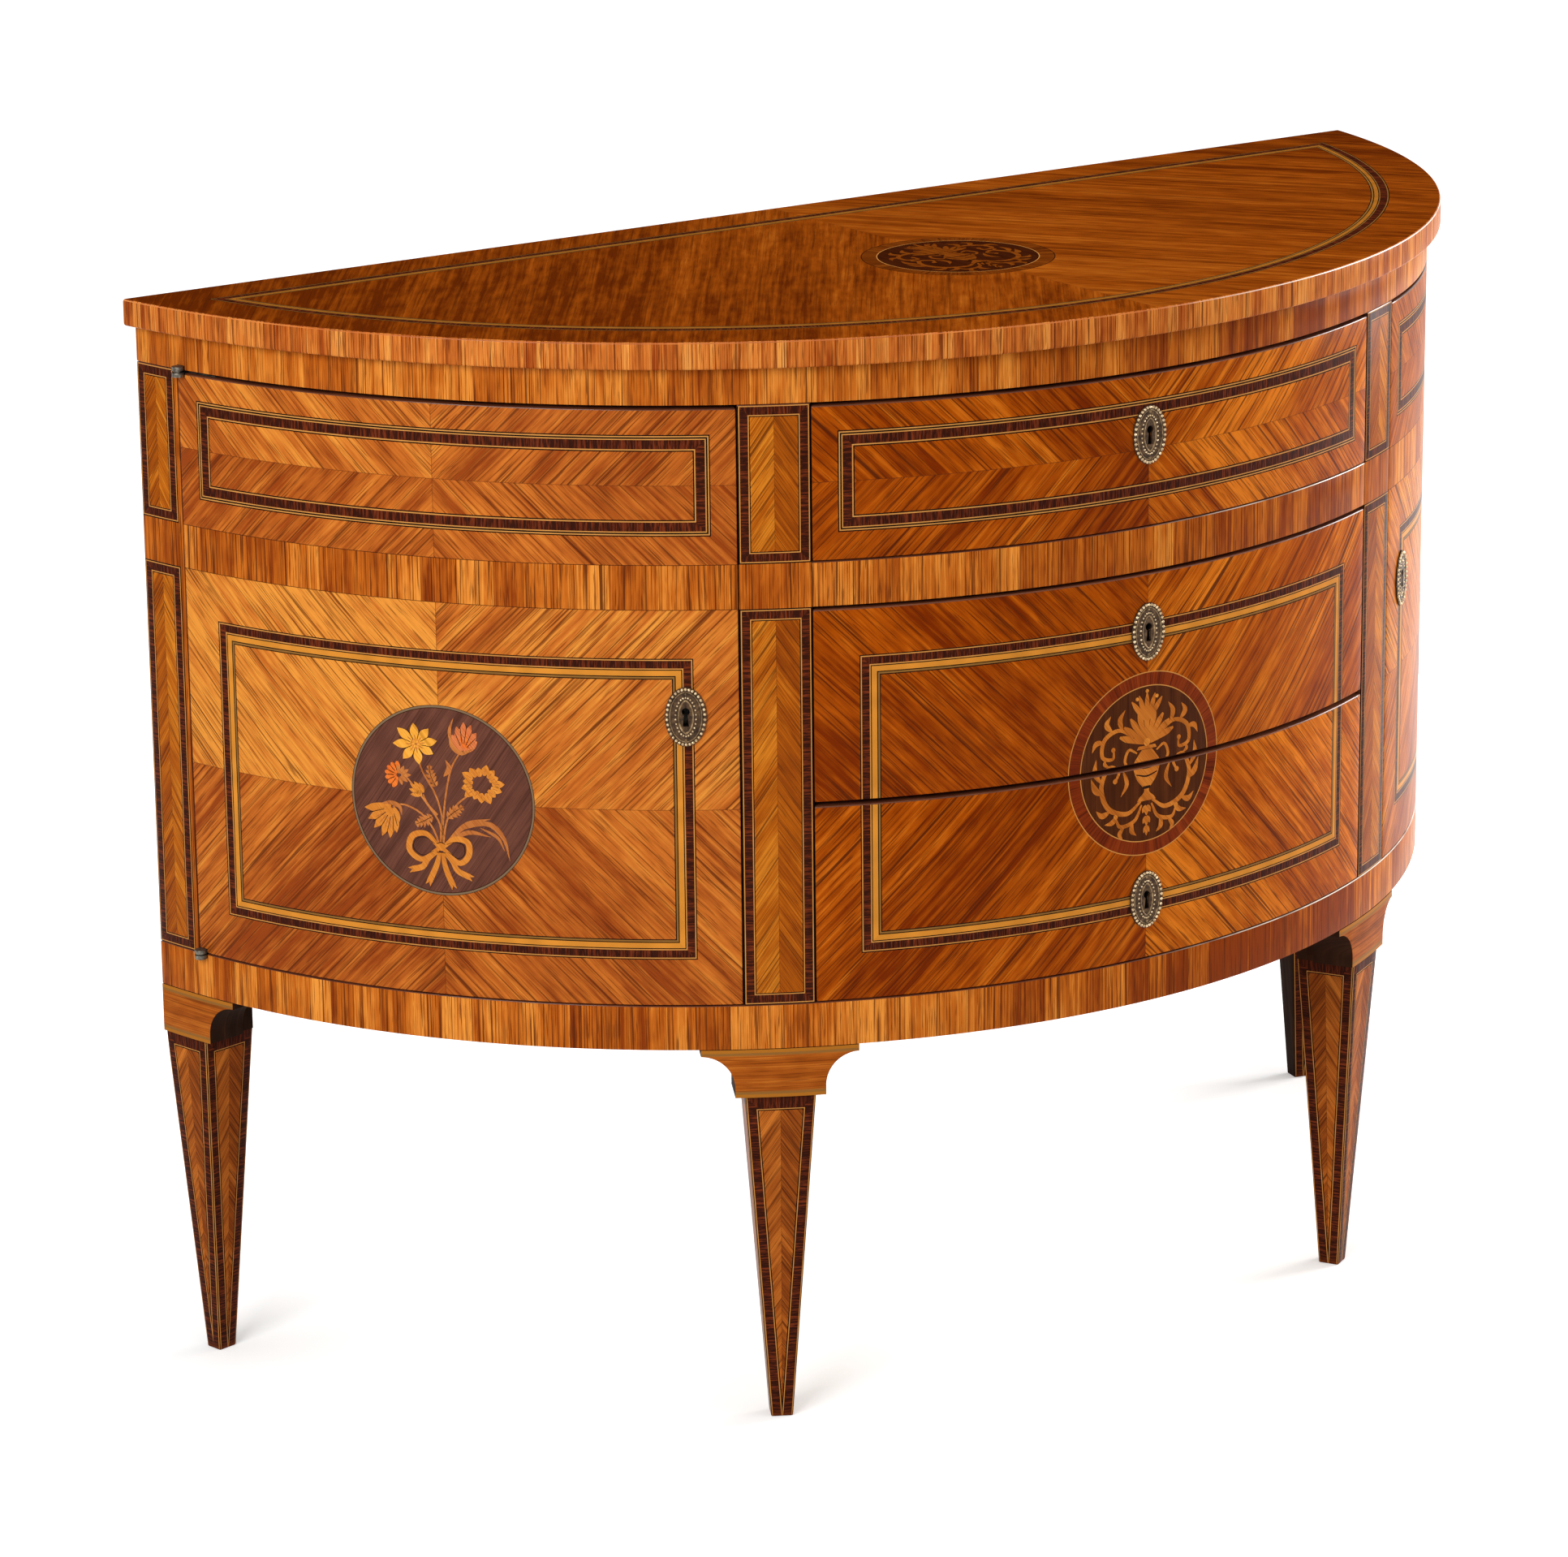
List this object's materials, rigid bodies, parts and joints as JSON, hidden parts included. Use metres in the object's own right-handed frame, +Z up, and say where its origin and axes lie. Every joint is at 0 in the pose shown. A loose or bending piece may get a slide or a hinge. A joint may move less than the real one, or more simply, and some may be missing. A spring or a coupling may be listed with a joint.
{
  "type": "demilune chest of drawers",
  "caption": "Half-round marquetry chest of drawers with bow-fronted drawers between curved cupboard doors, on tapered square legs with coved brackets.",
  "frame": {"origin": "on the floor under the middle of the overall bounding box", "axes": "+X to the right seen from the front, +Y towards the wall, +Z up"},
  "size_m": [1.263, 0.534, 0.9],
  "materials": {
    "veneer": "french polished quarter-matched veneer",
    "crossbanding": "french polished vertical-grain veneer",
    "top_veneer": "french polished book-matched veneer",
    "leg_veneer": "polished herringbone veneer with dark banding",
    "pine": "bare softwood",
    "aged_brass": "aged dull",
    "iron": "dark forged"
  },
  "bodies": {
    "case": {"frieze_rail": "crossbanding", "base_rail": "crossbanding", "mid_rail": "crossbanding", "front_left_stile": "veneer", "front_right_stile": "veneer", "back_left_stile": "veneer", "back_right_stile": "veneer", "top_panel": "top_veneer", "back_panel": "pine", "bottom_board": "pine", "left_partition": "pine", "right_partition": "pine", "left_shelf": "pine", "right_shelf": "pine", "upper_dust_board": "pine", "lower_dust_board": "pine", "front_left_leg": "leg_veneer", "front_left_bracket": "crossbanding", "front_right_leg": "leg_veneer", "front_right_bracket": "crossbanding", "back_left_leg": "leg_veneer", "back_left_bracket": "crossbanding", "back_right_leg": "leg_veneer", "back_right_bracket": "crossbanding", "left_upper_hinge_rail_plate": "aged_brass", "left_lower_hinge_rail_plate": "aged_brass", "right_upper_hinge_rail_plate": "aged_brass", "right_lower_hinge_rail_plate": "aged_brass"},
    "upper_drawer": {"upper_drawer_front": "veneer", "upper_drawer_left_side": "pine", "upper_drawer_right_side": "pine", "upper_drawer_back": "pine", "upper_drawer_bottom": "pine", "upper_drawer_lock": "iron", "upper_drawer_escutcheon": "aged_brass"},
    "middle_drawer": {"middle_drawer_front": "veneer", "middle_drawer_left_side": "pine", "middle_drawer_right_side": "pine", "middle_drawer_back": "pine", "middle_drawer_bottom": "pine", "middle_drawer_lock": "iron", "middle_drawer_escutcheon": "aged_brass"},
    "lower_drawer": {"lower_drawer_front": "veneer", "lower_drawer_left_side": "pine", "lower_drawer_right_side": "pine", "lower_drawer_back": "pine", "lower_drawer_bottom": "pine", "lower_drawer_lock": "iron", "lower_drawer_escutcheon": "aged_brass"},
    "left_door": {"left_door": "veneer", "left_upper_hinge_door_plate": "aged_brass", "left_lower_hinge_door_plate": "aged_brass", "left_door_lock": "iron", "left_door_escutcheon": "aged_brass"},
    "right_door": {"right_door": "veneer", "right_upper_hinge_door_plate": "aged_brass", "right_lower_hinge_door_plate": "aged_brass", "right_door_lock": "iron", "right_door_escutcheon": "aged_brass"}
  },
  "joints": [
    {"name": "upper_drawer_slide", "type": "slide", "parent": "case", "child": "upper_drawer", "axis": [0, -1, 0], "range_m": [0, 0.3]},
    {"name": "middle_drawer_slide", "type": "slide", "parent": "case", "child": "middle_drawer", "axis": [0, -1, 0], "range_m": [0, 0.3]},
    {"name": "lower_drawer_slide", "type": "slide", "parent": "case", "child": "lower_drawer", "axis": [0, -1, 0], "range_m": [0, 0.3]},
    {"name": "left_door_hinge", "type": "hinge", "parent": "case", "child": "left_door", "pos_m": [-0.61292, 0.21384, 0.36], "axis": [0, 0, -1], "range_deg": [0, 100]},
    {"name": "right_door_hinge", "type": "hinge", "parent": "case", "child": "right_door", "pos_m": [0.61292, 0.21384, 0.36], "axis": [0, 0, 1], "range_deg": [0, 100]}
  ]
}
